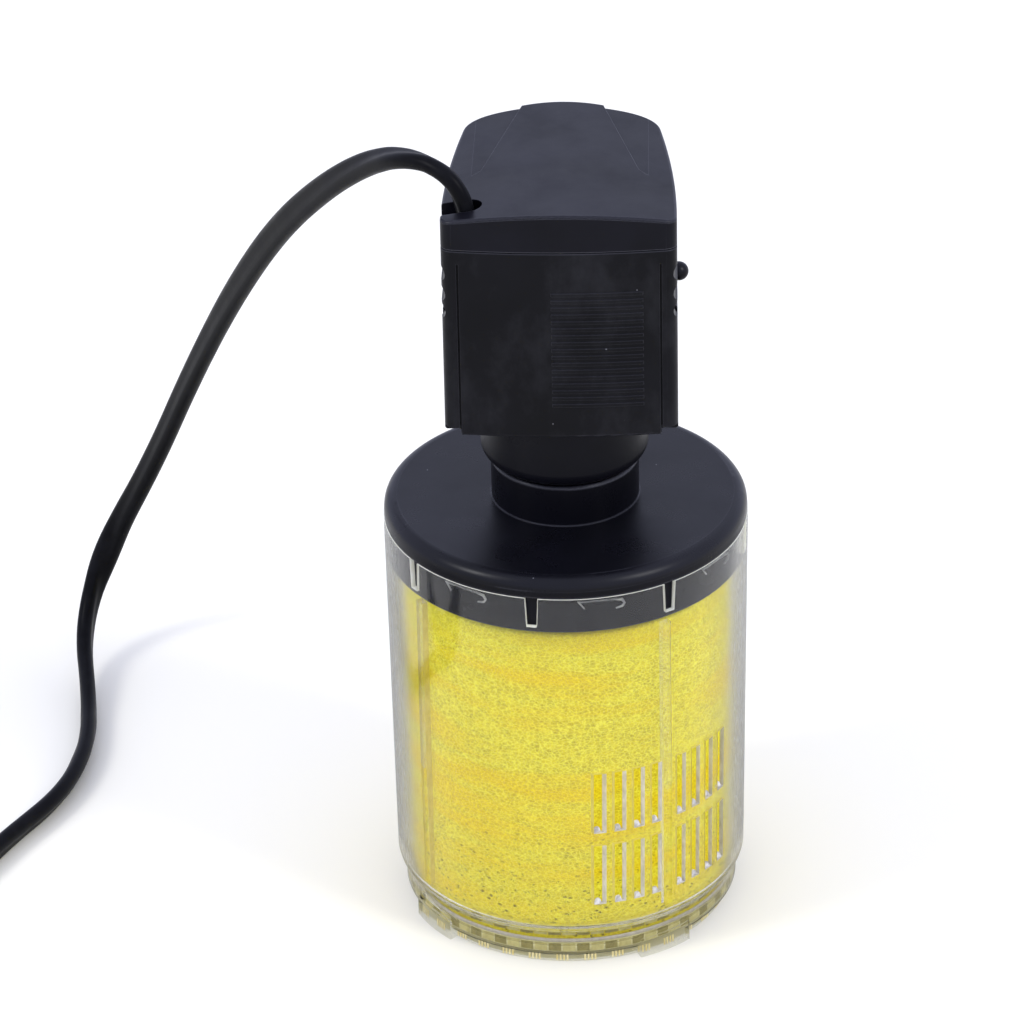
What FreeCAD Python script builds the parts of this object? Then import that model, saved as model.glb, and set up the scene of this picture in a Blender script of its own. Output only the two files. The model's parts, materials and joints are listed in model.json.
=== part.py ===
import FreeCAD, Part

import math
import os
import re

import Sketcher
from FreeCAD import Placement, Rotation, Vector

# Internal aquarium power filter, in millimetres. +Z is up. The origin is the centre of the canister's
# foot. -Y is the flat rear of the pump head, which carries the bracket rails, and the outlet points
# to +Y. Every size below is a cell of the sheet, and the pieces are bound to those cells.
SIZES = {
    # canister: a drafted clear cup on a smaller stepped foot
    "foot_radius": 40.3,
    "foot_inner": 38.3,
    "foot_height": 2.5,
    "step_radius": 42.0,
    "step_height": 9.5,
    "body_radius": 44.0,
    "body_low": 12.0,
    "rim_radius": 45.2,
    "rim_height": 108.0,
    "wall": 1.3,
    "floor_low": 3.0,
    "floor_top": 5.0,
    "turn_of_tabs": 35.2,
    "notch_width": 3.0,
    "notch_depth": 8.0,
    "slot_width": 2.9,
    "slot_pitch": 4.85,
    "slot_first": 3.7,
    "slot_tall": 17.3,
    "slot_row_low": 19.1,
    "slot_row_high": 40.1,
    "rib_width": 2.5,
    "rib_gap": 0.8,
    "rib_low": 14.0,
    "rib_top": 96.0,
    "floor_slot_width": 3.2,
    "floor_slot_length": 6.0,
    "lug_radius": 42.6,
    "lug_height": 5.4,
    "lug_angle": 20.0,
    # foam cylinder
    "foam_radius": 40.9,
    "foam_foot_radius": 39.6,
    "foam_low": 5.2,
    "foam_step": 12.5,
    "foam_top": 96.5,
    # lid
    "lid_radius": 45.0,
    "lid_top": 113.2,
    "lid_low": 108.15,
    "lid_thick": 2.5,
    "lid_round": 3.2,
    "skirt_radius": 43.6,
    "skirt_low": 98.2,
    "skirt_wall": 2.0,
    "collar_radius": 18.3,
    "collar_bore": 16.8,
    "collar_top": 124.0,
    "collar_low": 104.0,
    "grille_thick": 1.8,
    "grille_slot": 2.4,
    # pump inlet
    "spigot_radius": 16.6,
    "spigot_bore": 14.6,
    "spigot_low": 107.0,
    "neck_low": 124.6,
    "neck_radius": 20.7,
    "neck_round": 3.8,
    "flange_radius": 22.8,
    "flange_low": 146.8,
    "flange_top": 149.4,
    "eye_radius": 8.0,
    "ring_section": 0.75,
    "ring_height": 115.5,
    # motor head, a D-shaped plan
    "rear_half": 28.2,
    "rear_plane": 28.0,
    "rear_bulge": 192.0,
    "front_half": 23.6,
    "front_plane": 25.5,
    "nose_radius": 34.0,
    "side_radius": 287.0,
    "rear_corner": 3.0,
    "front_corner": 8.0,
    "head_wall": 2.3,
    "head_low": 144.5,
    "seam": 194.4,
    "deck_low": 169.0,
    "deck_top": 171.5,
    "chamber_radius": 19.0,
    "chamber_wall": 2.2,
    "well_inner": 7.0,
    "well_outer": 8.0,
    "well_top": 193.5,
    "outlet_height": 159.8,
    "outlet_bore": 6.2,
    "outlet_radius": 8.2,
    "outlet_end": 46.5,
    "grip_radius": 2.6,
    "grip_depth": 0.9,
    "rail_depth": 1.5,
    "rail_width": 3.0,
    "rail_inset": 3.4,
    "rail_top": 181.0,
    "grating_low": 153.0,
    "grating_pitch": 1.875,
    "grating_left": -2.0,
    "grating_right": 20.0,
    "grating_rise": 0.3,
    # cap
    "cap_gap": 0.2,
    "edge_round": 0.7,
    "seam_round": 0.25,
    "crown_radius": 160.0,
    "crown_rear": 204.4,
    "crown_slope": 1.2,
    "cap_inner": 199.6,
    "panel_front_half": 8.7,
    "panel_rear_half": 19.0,
    "panel_rear": -2.0,
    "shoulder_front": 201.7,
    "shoulder_rear": 202.7,
    # motor
    "core_half": 18.0,
    "core_rear": 24.5,
    "core_front": 11.0,
    "core_low": 175.0,
    "core_thick": 14.0,
    "core_bore": 8.2,
    "leg_inner": 9.5,
    "yoke": 7.0,
    "pole_gap": 3.0,
    "coil_build": 3.4,
    "coil_length": 10.2,
    "flange_thick": 0.9,
    "tube_wall": 0.8,
    "magnet_radius": 6.3,
    "magnet_low": 174.0,
    "magnet_tall": 16.0,
    "shaft_radius": 1.15,
    "shaft_low": 149.6,
    "shaft_top": 192.3,
    "bush_radius": 2.4,
    "impeller_radius": 14.0,
    "impeller_low": 153.0,
    "vane_tall": 12.0,
    "vane_thick": 1.4,
    "hub_radius": 3.2,
    # flow spindle, across the outlet passage
    "spindle_radius": 2.0,
    "spindle_offset": 27.5,
    "spindle_end": 28.3,
    "knob_start": 24.4,
    "knob_radius": 2.4,
    "vane_radius": 5.6,
    "running": 0.05,
    # outlet nozzle
    "sleeve_radius": 10.2,
    "sleeve_start": 38.5,
    "elbow_at": 50.0,
    "spout_radius": 7.5,
    "spout_bore": 5.6,
    "spout_length": 20.0,
    "spout_tilt": 35.0,
    # lead, gland and plug
    "lead_radius": 2.95,
    "gland_across": -22.0,
    "gland_back": -20.8,
    "gland_top": 198.5,
    "gland_low": 175.0,
    "gland_radius": 3.3,
    "gland_mouth": 3.12,
    "notch_half": 3.3,
    "notch_floor": 197.6,
    "coil_radius": 40.0,
    "coil_section": 7.4,
    "coil_across": -203.5,
    "coil_back": -46.5,
    "tie_thick": 0.8,
    "tail_length": 28.0,
    "plug_width": 35.3,
    "plug_length": 33.0,
    "plug_thick": 13.7,
    "pin_radius": 2.0,
    "pin_length": 19.0,
    "pin_spread": 9.3,
    "relief_length": 24.0,
}

# The lead's route from the gland to the coil. The first run is upright, and from the landing on,
# the lead's centre is half its width above the surface that the filter stands on.
ROUTE = [
    (-22.0, -20.8, 198.5),
    (-22.0, -20.8, 207.3),
    (-27.0, -19.4, 214.3),
    (-36.0, -11.3, 215.0),
    (-46.6, 1.6, 206.5),
    (-58.7, 18.0, 190.0),
    (-71.5, 40.5, 166.0),
    (-85.4, 67.1, 134.0),
    (-99.8, 91.2, 98.0),
    (-112.8, 107.1, 62.0),
    (-125.6, 114.7, 32.0),
    (-134.0, 106.4, 11.0),
    (-130.4, 79.5, 3.6),
    (-127.6, 57.6, 3.6),
    (-134.3, 35.3, 3.6),
    (-147.9, 9.8, 3.6),
    (-159.6, -13.6, 3.6),
    (-163.4, -36.0, 4.2),
]

doc = FreeCAD.newDocument("power_filter")
sheet = doc.addObject("Spreadsheet::Sheet", "Sizes")
for row, (alias, number) in enumerate(SIZES.items(), start=1):
    sheet.set(f"A{row}", alias.replace("_", " "))
    sheet.set(f"B{row}", str(number))
    sheet.setAlias(f"B{row}", alias)
doc.recompute()
pieces = {}


def bound(text):
    """The same expression with each size read from the sheet."""
    return re.sub(r"[a-z_]+", lambda word: f"Sizes.{word[0]}" if word[0] in SIZES else word[0], text)


def number(text):
    """What an expression of sizes comes to now."""
    return float(sheet.evalExpression(text))


def bind(thing, sizes):
    """Binds each property named in sizes to its expression of cells."""
    for name, text in sizes.items():
        thing.setExpression(name, bound(text))
    return thing


def place(thing, at=("0", "0", "0"), turn=None):
    """Moves a shape to a bound position, turned by a fixed rotation."""
    if turn is not None:
        thing.Placement = Placement(Vector(), turn)
    return bind(thing, {f"Placement.Base.{axis}": text for axis, text in zip("xyz", at, strict=True)})


ALONG_X = Rotation(Vector(0, 1, 0), 90)
ALONG_Y = Rotation(Vector(1, 0, 0), -90)


def about_z(degrees):
    return Rotation(Vector(0, 0, 1), degrees)


def cylinder(name, radius, tall, at=("0", "0", "0"), turn=None):
    return place(bind(doc.addObject("Part::Cylinder", name), {"Radius": radius, "Height": tall}), at, turn)


def cone(name, low, high, tall, at=("0", "0", "0"), turn=None):
    thing = bind(doc.addObject("Part::Cone", name), {"Radius1": low, "Radius2": high, "Height": tall})
    return place(thing, at, turn)


def ball(name, radius, at=("0", "0", "0")):
    return place(bind(doc.addObject("Part::Sphere", name), {"Radius": radius}), at)


def block(name, size, at, turn=None):
    """A box from its lowest corner, which is where at says before any turn about the origin."""
    thing = doc.addObject("Part::Box", name)
    return place(bind(thing, dict(zip(("Length", "Width", "Height"), size, strict=True))), at, turn)


def centred(name, size, at):
    """A box centred in X and Y on at, standing on its height."""
    corner = (f"{at[0]} - ({size[0]}) / 2", f"{at[1]} - ({size[1]}) / 2", at[2])
    return block(name, size, corner)


def join(name, *shapes):
    thing = doc.addObject("Part::MultiFuse", name)
    thing.Shapes = list(shapes)
    return thing


def cut(name, base, *tools):
    """base without the tools."""
    thing = doc.addObject("Part::Cut", name)
    thing.Base = base
    thing.Tool = tools[0] if len(tools) == 1 else join(name + "Tools", *tools)
    return thing


def common(name, first, second):
    thing = doc.addObject("Part::MultiCommon", name)
    thing.Shapes = [first, second]
    return thing


def tube(name, outer, inner, tall, at=("0", "0", "0"), turn=None):
    whole = cylinder(name + "Outer", outer, tall, at, turn)
    return cut(name, whole, cylinder(name + "Inner", inner, tall, at, turn))


def turned(name, source, degrees):
    """A copy of a shape, turned about the vertical axis."""
    thing = doc.addObject("Part::Compound", name)
    thing.Links = [source]
    thing.Placement = Placement(Vector(), about_z(degrees))
    return thing


def keep(node, thing):
    """Names a finished piece."""
    thing.Label = node
    pieces[node] = thing
    return thing


def bulge(start, end, radius):
    """The middle point of an arc from start to end that bulges to the right of its direction."""
    chord = end - start
    rise = radius - math.sqrt(radius**2 - (chord.Length / 2) ** 2)
    return (start + end) / 2 + Vector(chord.y, -chord.x, 0) / chord.Length * rise


def outline(body, name, plane, points, arcs=None, raised=None):
    """A closed sketch through points on one of the body's own planes. arcs gives the radius of each
    side that bulges to the right, by the number of its first point. Each corner and radius is bound."""
    sketch = body.newObject("Sketcher::SketchObject", name)
    planes = [feature for feature in body.Origin.OriginFeatures if feature.Role == plane]
    sketch.AttachmentSupport = (planes[0], [""])
    sketch.MapMode = "FlatFace"
    if raised is not None:
        bind(sketch, {"AttachmentOffset.Base.z": raised})
    corners = [Vector(number(across), number(up), 0) for across, up in points]
    arcs = arcs or {}
    ends = []
    for i, start in enumerate(corners):
        end = corners[(i + 1) % len(corners)]
        if i in arcs:
            side = Part.Arc(start, bulge(start, end, number(arcs[i])), end)
        else:
            side = Part.LineSegment(start, end)
        index = sketch.addGeometry(side, False)
        first_is_start = (sketch.getPoint(index, 1) - start).Length < (sketch.getPoint(index, 1) - end).Length
        ends.append((index, 1, 2) if first_is_start else (index, 2, 1))
    rules, bindings = [], {}
    for i, (index, start, end) in enumerate(ends):
        following, following_start, _ = ends[(i + 1) % len(ends)]
        rules.append(Sketcher.Constraint("Coincident", index, end, following, following_start))
        for word, value, text, axis in (
            ("DistanceX", corners[i].x, points[i][0], -2),
            ("DistanceY", corners[i].y, points[i][1], -1),
        ):
            if abs(value) < 1e-9:
                rules.append(Sketcher.Constraint("PointOnObject", index, start, axis))
            else:
                bindings[len(rules)] = text
                rules.append(Sketcher.Constraint(word, -1, 1, index, start, value))
        if i in arcs:
            bindings[len(rules)] = arcs[i]
            rules.append(Sketcher.Constraint("Radius", index, number(arcs[i])))
    sketch.addConstraint(rules)
    for index, text in bindings.items():
        sketch.setExpression(f"Constraints[{index}]", bound(text))
    return sketch


def lathe(name, points, arcs=None):
    """A body turned about the vertical axis from a profile of (radius, height) corners."""
    body = doc.addObject("PartDesign::Body", name)
    profile = outline(body, name + "Profile", "XZ_Plane", points, arcs)
    turn = body.newObject("PartDesign::Revolution", name + "Turn")
    turn.Profile = profile
    turn.ReferenceAxis = (profile, ["V_Axis"])
    turn.Angle = 360
    return body


def slab(name, points, low, high, arcs=None):
    """A body padded upright from a plan outline."""
    body = doc.addObject("PartDesign::Body", name)
    plan = outline(body, name + "Plan", "XY_Plane", points, arcs, raised=low)
    pad = body.newObject("PartDesign::Pad", name + "Pad")
    pad.Profile = plan
    bind(pad, {"Length": f"{high} - ({low})"})
    return body


def edges_near(shape, test):
    return [f"Edge{i}" for i, edge in enumerate(shape.Edges, start=1) if test(edge)]


def rounded(body, name, radius, test):
    """Adds a fillet on those edges of a body that pass a test."""
    doc.recompute()
    tip = body.Tip
    fillet = body.newObject("PartDesign::Fillet", name)
    fillet.Base = (tip, edges_near(tip.Shape, test))
    bind(fillet, {"Radius": radius})
    return body


# ---- canister ----

canister = lathe(
    "Canister",
    [
        ("0", "floor_low"),
        ("foot_inner", "floor_low"),
        ("foot_inner", "0"),
        ("foot_radius", "0"),
        ("foot_radius", "foot_height"),
        ("step_radius", "foot_height + 0.5"),
        ("step_radius", "step_height"),
        ("body_radius", "body_low"),
        ("rim_radius", "rim_height"),
        ("rim_radius - wall", "rim_height"),
        ("body_radius - wall", "body_low + 0.5"),
        ("step_radius - wall", "step_height + 0.5"),
        ("step_radius - wall", "floor_top"),
        ("0", "floor_top"),
    ],
)


def spokes(name, source, count, first):
    """Copies of one shape at equal turns about the axis, as one shape."""
    step = 360 / count
    return join(name, *[turned(f"{name}{i}", source, first + i * step) for i in range(count)])


def rim_notches():
    """Eight slits that free the rim's snap tabs."""
    slit = block(
        "NotchTool",
        ("8", "notch_width", "notch_depth + 1"),
        ("rim_radius - 5", "-notch_width / 2", "rim_height - notch_depth"),
    )
    return spokes("Notches", slit, 8, SIZES["turn_of_tabs"] - 90)


def intake_slots():
    """Two rows of slots each side of one rib and of the rib opposite, all cut the same way."""
    bars = []
    for side in (-1, 1):
        for place_in_row in range(4):
            for height in ("slot_row_low", "slot_row_high"):
                middle = f"{side} * (slot_first + {place_in_row} * slot_pitch)"
                bars.append(
                    block(
                        f"Slot{len(bars)}",
                        ("2 * rim_radius + 4", "slot_width", "slot_tall"),
                        ("-rim_radius - 2", f"{middle} - slot_width / 2", height),
                    )
                )
    return turned("IntakeSlots", join("SlotBars", *bars), SIZES["turn_of_tabs"] - 90)


def inner_ribs():
    """Four upright ribs that hold the foam off the wall."""
    bar = block(
        "RibTool",
        ("rim_radius - foam_radius", "rib_width", "rib_top - rib_low"),
        ("foam_radius + rib_gap", "-rib_width / 2", "rib_low"),
    )
    return spokes("Ribs", bar, 4, SIZES["turn_of_tabs"] - 90)


def floor_slots():
    """The ring of 36 slots through the floor."""
    slot = block(
        "FloorSlotTool",
        ("floor_slot_length", "floor_slot_width", "floor_top"),
        ("foot_inner - floor_slot_length - 0.8", "-floor_slot_width / 2", "floor_low - 1"),
    )
    return spokes("FloorSlots", slot, 36, SIZES["turn_of_tabs"] - 90)


def foot_lugs():
    """Four bayonet lugs round the foot."""
    lug = doc.addObject("Part::Cylinder", "LugOuter")
    bind(lug, {"Radius": "lug_radius", "Height": "lug_height", "Angle": "lug_angle"})
    lug.Placement = Placement(Vector(), about_z(-SIZES["lug_angle"] / 2))
    sector = cut("LugSector", lug, cylinder("LugInner", "foot_radius - 0.4", "lug_height"))
    return spokes("Lugs", sector, 4, SIZES["turn_of_tabs"] - 90)


canister_wall = cut("CanisterWall", canister, rim_notches(), intake_slots(), floor_slots())
inside = lathe(
    "CanisterInside",
    [
        ("0", "floor_top - 0.5"),
        ("step_radius - wall + 0.5", "floor_top - 0.5"),
        ("step_radius - wall + 0.5", "step_height + 0.5"),
        ("body_radius - wall + 0.5", "body_low + 0.5"),
        ("rim_radius - wall + 0.5", "rim_height"),
        ("0", "rim_height"),
    ],
)
fitted_ribs = common("FittedRibs", inner_ribs(), inside)
keep("canister", join("CanisterWhole", canister_wall, fitted_ribs, foot_lugs()))

keep(
    "sponge",
    lathe(
        "Sponge",
        [
            ("0", "foam_low"),
            ("foam_foot_radius", "foam_low"),
            ("foam_foot_radius", "foam_step - 2"),
            ("foam_radius", "foam_step"),
            ("foam_radius", "foam_top"),
            ("0", "foam_top"),
        ],
    ),
)

# ---- lid ----

keep(
    "lid",
    lathe(
        "Lid",
        [
            ("collar_bore", "collar_low"),
            ("collar_bore + 2", "collar_low"),
            ("collar_bore + 2", "lid_top - lid_thick"),
            ("skirt_radius - skirt_wall", "lid_top - lid_thick"),
            ("skirt_radius - skirt_wall", "skirt_low"),
            ("skirt_radius", "skirt_low"),
            ("skirt_radius", "lid_low"),
            ("lid_radius", "lid_low"),
            ("lid_radius", "lid_top - lid_round"),
            ("lid_radius - lid_round", "lid_top"),
            ("collar_radius", "lid_top"),
            ("collar_radius", "collar_top - 0.6"),
            ("collar_radius - 0.6", "collar_top"),
            ("collar_bore", "collar_top"),
        ],
        {8: "lid_round", 11: "0.6"},
    ),
)
grille_disc = cylinder("GrilleDisc", "collar_bore - 0.1", "grille_thick", ("0", "0", "collar_low + 0.2"))
grille_bars = []
for row, length in enumerate((20, 27, 30, 27, 20)):
    size = (f"{length}", "grille_slot", "grille_thick + 2")
    grille_bars.append(centred(f"GrilleSlot{row}", size, ("0", f"{(row - 2) * 5}", "collar_low - 0.8")))
keep("intake_grille", cut("Grille", grille_disc, *grille_bars))

# ---- pump inlet with its seal ----

keep(
    "inlet_neck",
    lathe(
        "InletNeck",
        [
            ("spigot_bore", "spigot_low"),
            ("spigot_radius", "spigot_low"),
            ("spigot_radius", "ring_height - 1"),
            ("spigot_radius - 1.4", "ring_height - 1"),
            ("spigot_radius - 1.4", "ring_height + 1"),
            ("spigot_radius", "ring_height + 1"),
            ("spigot_radius", "neck_low"),
            ("neck_radius - neck_round", "neck_low"),
            ("neck_radius", "neck_low + neck_round"),
            ("neck_radius", "flange_low"),
            ("spigot_bore", "flange_low"),
        ],
        {7: "neck_round"},
    ),
)
flange = tube("Flange", "flange_radius", "eye_radius", "flange_top - flange_low", ("0", "0", "flange_low"))
eye_low = ("0", "0", "flange_low")
flange_tall = "flange_top - flange_low"
bush_seat = tube("BushSeat", "bush_radius + 1.2", "bush_radius + running", flange_tall, eye_low)
struts = spokes(
    "Struts",
    block(
        "Strut",
        ("eye_radius - bush_radius", "1.4", flange_tall),
        ("bush_radius + 0.8", "-0.7", "flange_low"),
    ),
    3,
    30,
)
keep("impeller_cover", join("ImpellerCover", flange, bush_seat, struts))
spigot_seal = bind(
    doc.addObject("Part::Torus", "SpigotSeal"),
    {"Radius1": "spigot_radius - 0.62", "Radius2": "ring_section"},
)
keep("spigot_seal", place(spigot_seal, ("0", "0", "ring_height")))

# ---- motor housing ----


def head_slab(name, inset, low, high, corner=None):
    """A slab of the head's D-shaped plan, drawn in by inset on every side, with rounded corners."""
    rear, front = f"rear_half - ({inset})", f"front_half - ({inset})"
    points = [
        (f"-({rear})", f"-rear_plane + ({inset})"),
        (rear, f"-rear_plane + ({inset})"),
        (front, f"front_plane - ({inset})"),
        (f"-({front})", f"front_plane - ({inset})"),
    ]
    arcs = {0: "rear_bulge", 1: "side_radius", 2: f"nose_radius - ({inset}) / 2", 3: "side_radius"}
    body = slab(name, points, low, high, arcs)

    def upright(front_side):
        return lambda edge: (
            abs(edge.tangentAt(edge.FirstParameter).z) > 0.99 and (edge.CenterOfMass.y > 0) == front_side
        )

    rounded(body, name + "FrontCorners", corner or "front_corner", upright(True))
    return rounded(body, name + "RearCorners", "rear_corner", upright(False))


def level(height):
    """A test for the edges that lie at a bound height."""
    value = number(height)
    return lambda edge: abs(edge.BoundBox.ZMin - value) < 1e-4 and abs(edge.BoundBox.ZMax - value) < 1e-4


def side_grips():
    """Three scallops down each rear side edge of the head."""
    cutters = []
    for side in (-1, 1):
        for height in (187.6, 182.2, 177.6):
            middle = (f"{side} * (rear_half + grip_radius - grip_depth)", "-rear_plane - 3", f"{height}")
            cutters.append(cylinder(f"Grip{len(cutters)}", "grip_radius", "12", middle, ALONG_Y))
    return cutters


def bracket_rails():
    """In each side an upright groove for a bracket, a line on the rear face, and a raised end below."""
    cutters = []
    bottom = "head_low - 1"
    for side in (-1, 1):
        tag = "Left" if side < 0 else "Right"

        def strip(name, inner, wide, back, deep, tall, low=bottom, side=side, tag=tag):
            """A block from inner to inner + wide on this side of the head."""
            start = inner if side > 0 else f"-({inner}) - {wide}"
            return block(name + tag, (wide, deep, tall), (start, back, low))

        groove_back = "-rear_plane + rail_inset"
        groove_tall = "rail_top - head_low"
        cutters.append(strip("Groove", "rear_half - rail_depth", "3", groove_back, "rail_width", groove_tall))
        line_tall = "rail_top + 11 - head_low"
        cutters.append(strip("RailLine", "rear_half - 4.2", "0.5", "-rear_plane - 3.3", "4", line_tall))
        cutters.append(strip("RailEnd", "rear_half - 4", "5", "-rear_plane - 3", "6", "3"))
    return cutters


def rear_grating():
    """Seventeen fine level ribs on the convex rear face."""
    axis = ("0", "rear_bulge - rear_plane - 2.015")
    outer, inner = "rear_bulge + grating_rise", "rear_bulge - 0.3"
    bars = []
    for i in range(17):
        at = (*axis, f"grating_low + {i} * grating_pitch")
        bars.append(tube(f"Bar{i}", outer, inner, "grating_pitch * 0.45", at))
    room = block(
        "GratingRoom",
        ("grating_right - grating_left", "8", "40"),
        ("grating_left", "-rear_plane - 6", "grating_low - 1"),
    )
    return common("Grating", join("GratingBars", *bars), room)


housing_outer = head_slab("HousingOuter", "0", "head_low", "seam")
rounded(housing_outer, "HousingFootRound", "edge_round", level("head_low"))
rounded(housing_outer, "HousingSeamRound", "seam_round", level("seam"))
shell = cut(
    "HousingShell",
    housing_outer,
    head_slab("MotorCavity", "head_wall", "deck_top", "seam + 1", "6"),
    head_slab("PumpCavity", "head_wall", "head_low - 1", "deck_low", "6"),
    *side_grips(),
    *bracket_rails(),
)
chamber = cylinder(
    "ChamberOuter",
    "chamber_radius + chamber_wall",
    "deck_low - flange_top + 0.4",
    ("0", "0", "flange_top + 0.1"),
)
outlet = cylinder(
    "OutletOuter",
    "outlet_radius",
    "outlet_end - 12",
    ("0", "12", "outlet_height"),
    ALONG_Y,
)
spindle_boss = cylinder(
    "SpindleBoss",
    "spindle_radius + 2",
    "16.5",
    ("4.5", "spindle_offset", "outlet_height"),
    ALONG_X,
)
well = cylinder("WellOuter", "well_outer", "well_top - deck_low", ("0", "0", "deck_low"))
solid_housing = join("HousingSolid", shell, chamber, outlet, spindle_boss, well, rear_grating())
passage = ("0", "10", "outlet_height")
groove_at = ("0", "41.5", "outlet_height")
spindle_axis = ("0", "spindle_offset", "outlet_height")
seat_at = ("18.6", "spindle_offset", "outlet_height")
keep(
    "motor_housing",
    cut(
        "Housing",
        solid_housing,
        cylinder("ChamberInner", "chamber_radius", "deck_low - flange_top + 1", ("0", "0", "flange_top - 1")),
        cylinder("OutletInner", "outlet_bore", "outlet_end", passage, ALONG_Y),
        cylinder("WellInner", "well_inner", "well_top - deck_low", ("0", "0", "deck_low - 1")),
        cylinder("SpindleHole", "spindle_radius + running", "30", spindle_axis, ALONG_X),
        cylinder("SealSeat", "spindle_radius + 1.2", "2.2", seat_at, ALONG_X),
        tube("NozzleGroove", "outlet_radius + 1", "outlet_radius - 1", "2.2", groove_at, ALONG_Y),
    ),
)
plate = head_slab("PlateOuter", "head_wall + 0.15", "head_low + 0.1", "flange_low - 0.1", "6")
plate_hole = cylinder("PlateHole", "neck_radius + 0.2", "20", ("0", "0", "head_low - 5"))
keep("bottom_plate", cut("BottomPlate", plate, plate_hole))

# ---- cap ----


def crowned(name, source):
    """The part of a slab under the cap's crown, a wide cylinder that falls slightly to the front."""
    crown = doc.addObject("Part::Cylinder", name + "Crown")
    bind(crown, {"Radius": "crown_radius", "Height": "160"})
    tilt = Rotation(Vector(1, 0, 0), -90 - SIZES["crown_slope"])
    crown.Placement = Placement(Vector(), tilt)
    axis_height = "crown_rear - crown_radius + 50 * tan(crown_slope * 1deg)"
    bind(crown, {"Placement.Base.y": "-80", "Placement.Base.z": axis_height})
    return common(name, source, crown)


def shoulder_cut(side):
    """What comes off one side of the crown, outside the raised middle panel."""
    tag = "Left" if side < 0 else "Right"
    body = slab(
        "ShoulderPlan" + tag,
        [
            (f"{side} * (panel_front_half - 0.5)", "40"),
            (f"{side} * panel_rear_half", "panel_rear"),
            (f"{side} * (rear_half + 1)", "panel_rear - 12"),
            (f"{side * 40}", "panel_rear - 12"),
            (f"{side * 40}", "40"),
        ],
        "seam",
        "seam + 20",
    )
    wedge_body = doc.addObject("PartDesign::Body", "ShoulderSide" + tag)
    wedge = outline(
        wedge_body,
        "ShoulderWedge" + tag,
        "YZ_Plane",
        [
            ("front_plane + 9", "shoulder_front"),
            ("front_plane + 20", "shoulder_front"),
            ("front_plane + 20", "crown_rear + 8"),
            ("panel_rear - 14", "crown_rear + 8"),
            ("panel_rear - 14", "shoulder_rear"),
        ],
    )
    pad = wedge_body.newObject("PartDesign::Pad", "WedgePad" + tag)
    pad.Profile = wedge
    pad.Length = 100
    pad.Midplane = True
    return common("ShoulderCut" + tag, body, wedge_body)


cap_outer = head_slab("CapOuter", "0", "seam + cap_gap", "crown_rear + 3")
rounded(cap_outer, "CapSeamRound", "seam_round", level("seam + cap_gap"))
cap_crowned = crowned("CapCrowned", cap_outer)
doc.recompute()
cap_solid = doc.addObject("Part::Fillet", "CapSolid")
cap_solid.Base = cap_crowned
top_edges = edges_near(cap_crowned.Shape, lambda edge: edge.BoundBox.ZMin > SIZES["cap_inner"])
cap_solid.Edges = [(int(name[4:]), SIZES["edge_round"], SIZES["edge_round"]) for name in top_edges]
cap_shell = cut(
    "CapShell",
    cap_solid,
    head_slab("CapCavity", "head_wall", "seam - 1", "cap_inner", "6"),
    shoulder_cut(-1),
    shoulder_cut(1),
)
gland_boss = block(
    "GlandBoss",
    ("13.5", "10.6", "cap_inner - seam - cap_gap + 0.1"),
    ("-rear_half + 1.5", "gland_back - 5.3", "seam + cap_gap"),
)
keep(
    "motor_cap",
    cut(
        "Cap",
        join("CapWithBoss", cap_shell, gland_boss),
        block(
            "CordNotch",
            ("rear_half + 2 + gland_across + 0.5", "2 * notch_half", "10"),
            ("-rear_half - 2", "gland_back - notch_half", "notch_floor"),
        ),
        cylinder("CordNotchEnd", "notch_half", "10", ("gland_across + 0.5", "gland_back", "notch_floor")),
        cylinder("GlandHole", "gland_radius + 0.02", "30", ("gland_across", "gland_back", "gland_low")),
    ),
)

# ---- motor ----

core_blank = block(
    "CoreBlank",
    ("2 * core_half", "core_rear + core_front", "core_thick"),
    ("-core_half", "-core_rear", "core_low"),
)
keep(
    "stator_core",
    cut(
        "StatorCore",
        core_blank,
        cylinder("CoreBore", "core_bore", "core_thick + 2", ("0", "0", "core_low - 1")),
        block(
            "CoreWindow",
            ("2 * leg_inner", "core_rear - yoke - 6.5", "core_thick + 2"),
            ("-leg_inner", "-core_rear + yoke", "core_low - 1"),
        ),
        block(
            "PoleGap",
            ("pole_gap", "core_front + 1", "core_thick + 2"),
            ("-pole_gap / 2", "0", "core_low - 1"),
        ),
    ),
)


def coil_on_leg(side):
    """A bobbin on one leg of the core, and the winding between its flanges."""
    tag = "Left" if side < 0 else "Right"
    middle = f"{side} * (leg_inner + core_half) / 2"
    back = "-core_rear + yoke + 0.1"
    leg = "core_half - leg_inner"

    def wrap(name, build, start, length):
        size = (f"{leg} + 2 * ({build})", length, f"core_thick + 2 * ({build})")
        corner = (f"{middle} - ({size[0]}) / 2", start, f"core_low - ({build})")
        return block(name + tag, size, corner)

    rear = wrap("FlangeRear", "coil_build", back, "flange_thick")
    front = wrap("FlangeFront", "coil_build", f"{back} + coil_length - flange_thick", "flange_thick")
    sleeve = wrap("Sleeve", "tube_wall + 0.1", back, "coil_length")
    bore = wrap("LegHole", "0.1", f"{back} - 1", "coil_length + 2")
    wire_length = "coil_length - 2 * flange_thick - 0.1"
    winding = wrap("Wire", "coil_build - 0.5", f"{back} + flange_thick + 0.05", wire_length)
    inner = wrap("WireInner", "tube_wall + 0.15", f"{back} - 1", "coil_length + 2")
    bobbin = cut("Bobbin" + tag, join("BobbinSolid" + tag, rear, front, sleeve), bore)
    keep("bobbin_" + tag.lower(), bobbin)
    keep("winding_" + tag.lower(), cut("Winding" + tag, winding, inner))
    return wrap("CoilRoom", "coil_build + 0.1", "-core_rear + yoke", "coil_length + 0.2")


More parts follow.
